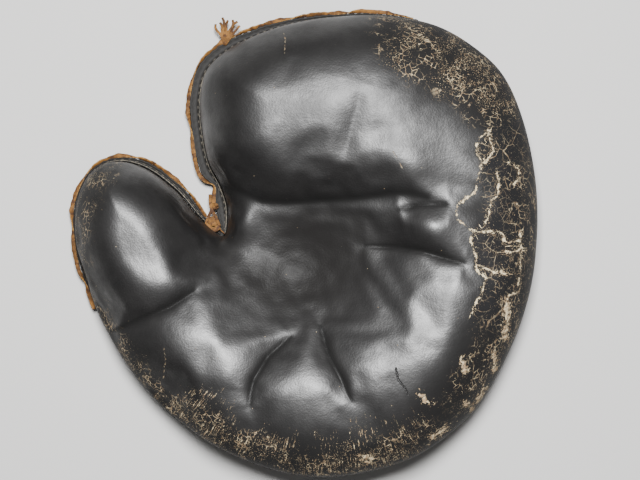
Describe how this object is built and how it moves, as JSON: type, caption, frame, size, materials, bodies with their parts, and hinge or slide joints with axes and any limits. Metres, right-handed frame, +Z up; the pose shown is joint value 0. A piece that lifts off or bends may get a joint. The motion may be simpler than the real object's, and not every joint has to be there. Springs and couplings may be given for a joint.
{
  "type": "padded ball-catching mitt",
  "caption": "Round padded leather catcher's mitt with a deep palm pocket, folding thumb lobe, laced edge, finger stalls and a buckled wrist strap on the back.",
  "frame": {"origin": "bottom centre of the bounding box, on the surface that the mitt lies on with its palm up", "axes": "+Z up, out of the palm; +Y towards the fingertips; +X away from the thumb, across the palm"},
  "size_m": [0.2904, 0.288, 0.0725],
  "materials": {
    "black_leather": "satin",
    "back_leather": "matte",
    "lining_leather": "matte",
    "lace_leather": "matte",
    "hair_felt": "matte",
    "nickelled_steel": "satin",
    "brass": "satin"
  },
  "bodies": {
    "mitt": {"palm_face": "black_leather", "palm_felt": "hair_felt", "finger_pad": "hair_felt", "side_pad": "hair_felt", "heel_pad": "hair_felt", "hand_lining": "lining_leather", "back_panel": "back_leather", "heel_back_panel": "back_leather", "index_stall": "back_leather", "middle_stall": "back_leather", "ring_stall": "back_leather", "little_stall": "back_leather", "wrist_binding": "back_leather", "finger_welt": "black_leather", "finger_lace": "lace_leather", "crotch_knot": "lace_leather", "lace_tail": "lace_leather", "strap_root": "back_leather", "strap_patch": "back_leather", "strap_rivet_upper": "brass", "strap_rivet_lower": "brass", "chape_rivet": "brass", "buckle_chape": "back_leather"},
    "thumb": {"thumb_face": "black_leather", "thumb_pad": "hair_felt", "thumb_back_panel": "back_leather", "thumb_stall": "back_leather", "thumb_welt": "black_leather", "thumb_lace": "lace_leather", "thumb_lining": "lining_leather"},
    "strap": {"wrist_strap": "back_leather"},
    "keeper": {"strap_keeper": "back_leather"},
    "buckle": {"buckle_frame": "nickelled_steel"},
    "prong": {"buckle_prong": "nickelled_steel"},
    "roller": {"buckle_roller": "nickelled_steel"}
  },
  "joints": [
    {"name": "thumb_flex", "type": "hinge", "parent": "mitt", "child": "thumb", "pos_m": [-0.0457, 0.0052, 0.008], "axis": [0.7736, 0.6337, 0], "range_deg": [-5, 15], "stiffness_Nm_per_rad": 2},
    {"name": "strap_swing", "type": "hinge", "parent": "mitt", "child": "strap", "pos_m": [0.0623, -0.0832, 0.0034], "axis": [0.3007, -0.9537, 0], "range_deg": [0, 120]},
    {"name": "keeper_slide", "type": "slide", "parent": "strap", "child": "keeper", "axis": [-0.9537, -0.3007, 0], "range_m": [-0.01, 0.058]},
    {"name": "buckle_swing", "type": "hinge", "parent": "mitt", "child": "buckle", "pos_m": [-0.0617, -0.0842, 0.0038], "axis": [0, 1, 0], "range_deg": [0, 80]},
    {"name": "prong_swing", "type": "hinge", "parent": "buckle", "child": "prong", "pos_m": [-0.0617, -0.0842, 0.0038], "axis": [0, 1, 0], "range_deg": [0, 45]},
    {"name": "roller_spin", "type": "hinge", "parent": "buckle", "child": "roller", "pos_m": [-0.0427, -0.0842, 0.0038], "axis": [0, 1, 0], "continuous": true}
  ]
}
